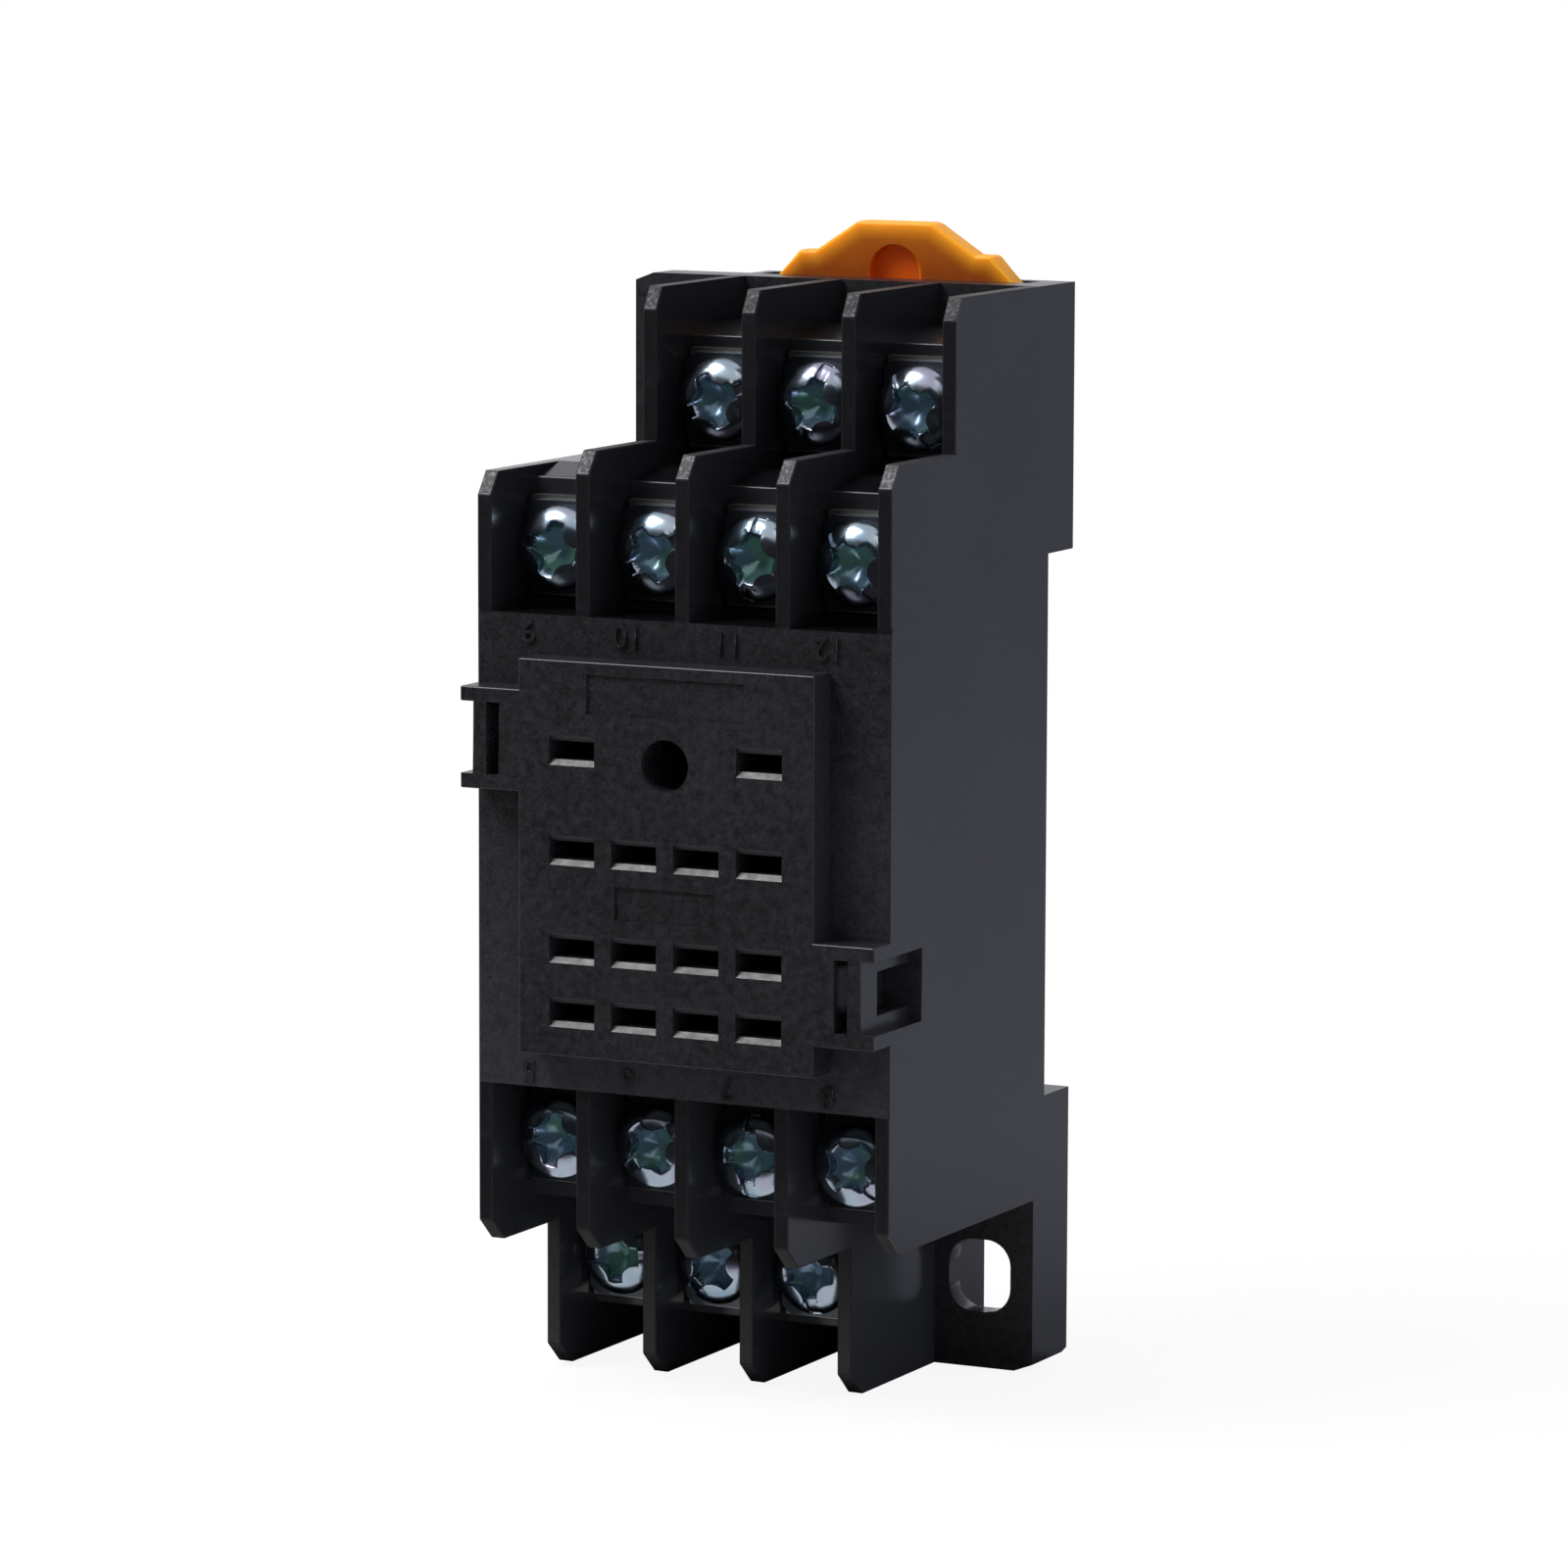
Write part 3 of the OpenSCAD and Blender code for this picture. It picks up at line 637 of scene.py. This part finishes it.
clipLook = {
    "edge": 0.26 * mm,
    "segments": 4,
    "sharp": math.radians(25),
    "shortest": 1.0 * mm,      # the notch's facets are shorter and stay sharp
    "step": 0.3 * mm,
    "glow": 1.1 * mm,          # how far the painted glow of the edge reaches into the front
    "fade": 1.5,
    "notchHalf": 2.0 * mm,
    "notchHigh": 2.4 * mm,
    "shown": 0.5 * mm,         # the front rises at least this far above the body
    "forward": -0.95,
    "sameFront": 0.1 * mm,
}


def gridFront(bm, part, low, high):
    # cuts the front into small cells, whose corners carry the glow
    step = clipLook["step"]
    for axis in (0, 2):
        way = Vector((0, 0, 0))
        way[axis] = 1
        for count in range(1, int((high[axis] - low[axis]) / step)):
            faces = [f for f in bm.faces if f[part] == 1]
            place = way * (low[axis] + count * step)
            bmesh.ops.bisect_plane(bm, geom=geomOf(faces), dist=0.001 * mm, plane_co=place, plane_no=way)


def nearest(point, lines):
    def away(a, b):
        foot, share = geometry.intersect_point_line(point, a, b)
        return (a.lerp(b, min(1, max(0, share))) - point).length
    return min(away(a, b) for a, b in lines)


def makeClip():
    look = clipLook
    low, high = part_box("rail_clip")
    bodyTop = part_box("base")[1].z
    bm = mergedCopy("rail_clip", "loops")
    glow = bm.loops.layers.float[zoneName]
    part = bm.faces.layers.int.new("part")

    def longOutside(edge):
        return edge.is_convex and edge.calc_length() > look["shortest"]

    # parts: 0 the rest, 1 the front, 2 the eased edges
    for face in easeEdges(bm, look, longOutside, clamp=False):
        face[part] = 2
    bm.normal_update()
    faces = [
        f for f in bm.faces
        if f[part] == 0 and f.normal.y < look["forward"]
        and max(v.co.z for v in f.verts) > bodyTop + look["shown"]
    ]
    front = min(f.calc_center_median().y for f in faces)
    shown = [f for f in faces if f.calc_center_median().y < front + look["sameFront"]]
    middleX = (low.x + high.x) / 2

    def inNotch(place):
        return abs(place.x - middleX) < look["notchHalf"] and place.z < bodyTop + look["notchHigh"]

    rim = [
        (e.verts[0].co.copy(), e.verts[1].co.copy())
        for f in shown for e in f.edges
        if any(other[part] == 2 for other in e.link_faces)
        and not inNotch((e.verts[0].co + e.verts[1].co) / 2)
    ]
    for face in shown:
        face[part] = 1
    gridFront(bm, part, low, high)
    bm.normal_update()
    # painted glow: full gold on the edges and sides, fading from the rim across the front, red in the notch
    for face in bm.faces:
        red = inNotch(face.calc_center_median())
        for loop in face.loops:
            if face[part] == 1:
                loop[glow] = max(0.0, 1 - nearest(loop.vert.co, rim) / look["glow"]) ** look["fade"]
            else:
                loop[glow] = -1.0 if red else 1.0
    print("clip faces:", len(bm.faces), "on its front:", sum(f[part] == 1 for f in bm.faces))
    bm.faces.layers.int.remove(part)
    addPiece("railClip", bm, "amber", "clip", ["rail_clip"])


makeHousing()
makeBase()
makeClip()

terminalCount = 14
screwLook = {
    "edge": 0.035 * mm,
    "shortest": 0.1 * mm,
    "segments": 2,
    "sharp": math.radians(32),
    "headHeight": 2.0 * mm,
    "dome": 1.3 * mm,
    "sunk": 0.5 * mm,          # faces deeper than this under the dome belong to the recess
    "rim": 0.97,               # share of the radius where the dome ends
}
washerLook = {"edge": 0.03 * mm, "segments": 2, "sharp": math.radians(32)}


def makeScrew(number):
    look = screwLook
    node = f"terminal_screw_{number}"
    low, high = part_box(node)
    middle = (low + high) / 2
    radius = (high.x - low.x) / 2
    bm = mergedCopy(node)
    easeEdges(bm, look, lambda e: e.calc_length() > look["shortest"], clamp=False)

    def inRecess(face):
        centre = face.calc_center_median()
        share = math.hypot(centre.x - middle.x, centre.z - middle.z) / radius
        under = centre.y - low.y
        if share > look["rim"] or under > look["headHeight"]:
            return 0.0
        return float(under > look["dome"] * (1 - math.sqrt(1 - share * share)) + look["sunk"])

    paintZones(bm, inRecess)
    smoothRound(bm, look["sharp"])
    addPiece(f"terminalScrew{number}", bm, "screwZinc", f"screw_{number}", [node])


def makeWasher(number):
    node = f"clamp_washer_{number}"
    bm = mergedCopy(node)
    easeEdges(bm, washerLook)
    paintZones(bm, lambda face: 0.0)
    addPiece(f"clampWasher{number}", bm, "washerZinc", f"washer_{number}", [node])


for number in range(1, terminalCount + 1):
    makeScrew(number)
    makeWasher(number)
    contact = nodes[f"contact_{number}"]
    contact.data.materials.clear()
    contact.data.materials.append(finishes["tin"])
print("terminals dressed:", terminalCount)

# plain terminal numbers, raised on the strips beside the front bays
numberLook = {
    "rows": {"upper": (9, 10, 11, 12), "lower": (5, 6, 7, 8)},
    "places": {"upper": 13.7 * mm, "lower": -14.5 * mm},
    "size": 2.1 * mm,
    "raise": 0.18 * mm,
    "strip": -26.9 * mm,       # front of the strips
    "shift": -0.3 * mm,
    "firstScrew": 4,           # the screw above the first column
    "weld": 0.0005 * mm,
}


def makeNumbers():
    look = numberLook
    bm = bmesh.new()
    upright = Matrix.Rotation(math.radians(90), 4, "X")
    turned = Matrix.Rotation(math.radians(180), 4, "Y") @ upright    # the moulding carries them upside down
    for row, digits in look["rows"].items():
        for column, digit in enumerate(digits):
            low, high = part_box(f"terminal_screw_{look['firstScrew'] + column}")
            middle = (low.x + high.x) / 2
            place = Vector((middle + look["shift"], look["strip"], look["places"][row]))
            curve = bpy.data.curves.new("digit", "FONT")
            curve.body = str(digit)
            curve.size = look["size"]
            curve.align_x = "CENTER"
            curve.align_y = "CENTER"
            curve.extrude = look["raise"]
            curve.resolution_u = 4
            holder = bpy.data.objects.new("digit", curve)
            known = set(bm.verts)
            bm.from_mesh(holder.to_mesh())
            fresh = [v for v in bm.verts if v not in known]
            bmesh.ops.transform(bm, matrix=Matrix.Translation(place) @ turned, verts=fresh)
            bpy.data.objects.remove(holder)
            bpy.data.curves.remove(curve)
    bmesh.ops.remove_doubles(bm, verts=bm.verts[:], dist=look["weld"])
    bm.faces.layers.float.new(zoneName)
    paintZones(bm, lambda face: float(face.normal.y < housingLook["grained"]))
    print("number faces:", len(bm.faces))
    addPiece("terminalNumbers", bm, "black", "socket")


makeNumbers()

# pale floor under the socket, seen as the white of the backdrop
stageLook = {
    "floorSize": 3.0,
    "floorGap": 0.2 * mm,
    "paint": (0.86, 0.86, 0.86, 1),
    "white": 1.0,
    "shadowShare": 0.10,
    "shadowReach": 0.16,
}


def stagePiece(name, bm, material):
    piece = placeMesh(name, bm, material)
    return piece


def makeFloor():
    look = stageLook
    bm = bmesh.new()
    bmesh.ops.create_grid(bm, x_segments=1, y_segments=1, size=look["floorSize"])
    bmesh.ops.translate(bm, verts=bm.verts[:], vec=Vector((0, 0, cadBox[0].z - look["floorGap"])))
    material = bpy.data.materials.new("paleFloor")
    material.use_nodes = True
    tree = material.node_tree
    wire = Wire(tree)
    coords = wire.node("ShaderNodeTexCoord", None, None, "Object")
    paint = wire.node("ShaderNodeBsdfDiffuse", None, {"Color": look["paint"]})
    glow = wire.node("ShaderNodeEmission", None, {"Color": (1, 1, 1, 1), "Strength": look["white"]})
    away = wire.node("ShaderNodeVectorMath", {"operation": "LENGTH"}, {0: coords}, "Value")
    near = ramp(wire, away * (1 / look["shadowReach"]), [(0.2, (1, 1, 1, 1)), (1.0, (0, 0, 0, 1))])
    seen = lightPath(wire) * (1 - look["shadowShare"] * near)
    mixed = wire.node("ShaderNodeMixShader", None, {0: seen, 1: paint, 2: glow})
    tree.links.new(mixed.socket, tree.nodes["Material Output"].inputs["Surface"])
    stagePiece("floor", bm, material)


# sheets that only the reflections see, each a profile of y and height drawn out from x to x
black = (0.02, 0.02, 0.02)
grey = (0.375, 0.385, 0.44)
silver = (0.70, 0.71, 0.73)
sheets = {
    "frontFlag": {"across": (-1.1, 1.1), "profile": [(-0.045, 0), (-0.8, 0), (-0.8, 0.6)], "tone": black},
    # painted shade: a black sheet for the shadow on the floor under the body, which only reflections see
    "underCloth": {"across": (-0.4, 0.4), "profile": [(-0.0175, 0), (0.0, 0)], "tone": black},
    "leftCard": {"across": (-1.1, -0.02), "profile": [(0.0, 0), (0.6, 0), (0.6, 1.2)], "tone": silver},
    "rightCard": {"across": (-0.02, 1.1), "profile": [(0.0, 0), (0.6, 0), (0.6, 0.5)], "tone": grey},
}


def makeSheet(name):
    look = sheets[name]
    ground = cadBox[0].z
    left, right = look["across"]
    bm = bmesh.new()
    line = [bm.verts.new((left, y, ground + height)) for y, height in look["profile"]]
    edges = [bm.edges.new(pair) for pair in zip(line, line[1:])]
    grown = bmesh.ops.extrude_edge_only(bm, edges=edges)["geom"]
    bmesh.ops.translate(
        bm, verts=[v for v in grown if isinstance(v, bmesh.types.BMVert)], vec=Vector((right - left, 0, 0)),
    )
    material = bpy.data.materials.new(name + "Cloth")
    material.use_nodes = True
    shader = material.node_tree.nodes["Principled BSDF"]
    shader.inputs["Base Color"].default_value = (*look["tone"], 1)
    shader.inputs["Roughness"].default_value = 1.0
    shader.inputs["Specular IOR Level"].default_value = 0.0
    sheet = stagePiece(name, bm, material)
    sheet.visible_camera = False
    sheet.visible_shadow = False
    sheet.visible_diffuse = False


def lightPath(wire):
    # 1 for what the camera sees directly, mirrored or through glass
    kinds = ("Is Camera Ray", "Is Glossy Ray", "Is Transmission Ray")
    rays = [wire.node("ShaderNodeLightPath", None, None, kind) for kind in kinds]
    total = rays[0] + rays[1] + rays[2]
    return total.maths("MINIMUM", total, 1.0)


worldLook = {"ambient": 0.50, "white": 1.0}


def makeWorld():
    world = bpy.data.worlds.new("studio")
    bpy.context.scene.world = world
    world.use_nodes = True
    tree = world.node_tree
    wire = Wire(tree)
    shown = lightPath(wire)
    strength = worldLook["ambient"] + (worldLook["white"] - worldLook["ambient"]) * shown
    back = tree.nodes["Background"]
    back.inputs["Color"].default_value = (1, 1, 1, 1)
    tree.links.new(strength.socket, back.inputs["Strength"])


# softboxes: place and size in metres, power in watts; all face the aim, and some don't show in reflections
lamps = {
    "topLeftBox": {
        "place": (-0.32, -0.30, 0.56), "size": 0.34, "power": 5.2, "tint": (1, 1, 1), "shines": True,
    },
    "rightBox": {
        "place": (0.62, -0.03, 0.16), "size": 0.40, "power": 1.0, "tint": (0.86, 0.93, 1), "shines": True,
    },
    "backBox": {
        "place": (-0.30, 0.46, 0.40), "size": 0.30, "power": 0.6, "tint": (1, 1, 1), "shines": False,
    },
}
lampAim = (0, -0.015, 0)


def makeLamps():
    aim = Vector(lampAim)
    for name, look in lamps.items():
        lamp = bpy.data.lights.new(name, "AREA")
        lamp.shape = "SQUARE"
        lamp.size = look["size"]
        lamp.energy = look["power"]
        lamp.color = look["tint"]
        holder = bpy.data.objects.new(name, lamp)
        bpy.context.scene.collection.objects.link(holder)
        holder.location = look["place"]
        holder.visible_glossy = look["shines"]
        holder.rotation_euler = (aim - holder.location).to_track_quat("-Z", "Y").to_euler()


# camera fitted to the photograph's perspective
cameraLook = {
    "azimuth": 0.465558,
    "elevation": 0.134467,
    "roll": 0.002976,
    "distance": 459.19 * mm,
    "aim": (8.352 * mm, -29.2 * mm, 5.369 * mm),
    "lens": 170.16,
    "sensor": 36.0,
    "clip": (0.01, 20.0),
}


def makeCamera():
    look = cameraLook
    a, e, r = look["azimuth"], look["elevation"], look["roll"]
    back = Vector((math.sin(a) * math.cos(e), -math.cos(a) * math.cos(e), math.sin(e)))
    side = Vector((math.cos(a), math.sin(a), 0))
    up = back.cross(side)
    right = math.cos(r) * side + math.sin(r) * up
    top = math.cos(r) * up - math.sin(r) * side
    place = Vector(look["aim"]) + back * look["distance"]
    camera = bpy.data.cameras.new("photoCamera")
    camera.sensor_width = look["sensor"]
    camera.lens = look["lens"]
    camera.clip_start, camera.clip_end = look["clip"]
    holder = bpy.data.objects.new("photoCamera", camera)
    bpy.context.scene.collection.objects.link(holder)
    turn = Matrix((right, top, back)).transposed().to_4x4()
    holder.matrix_world = Matrix.Translation(place) @ turn
    bpy.context.scene.camera = holder


makeFloor()
for sheetName in sheets:
    makeSheet(sheetName)
makeWorld()
makeLamps()
makeCamera()
bpy.context.scene.view_settings.view_transform = "Standard"
print("stage, lamps and camera set")
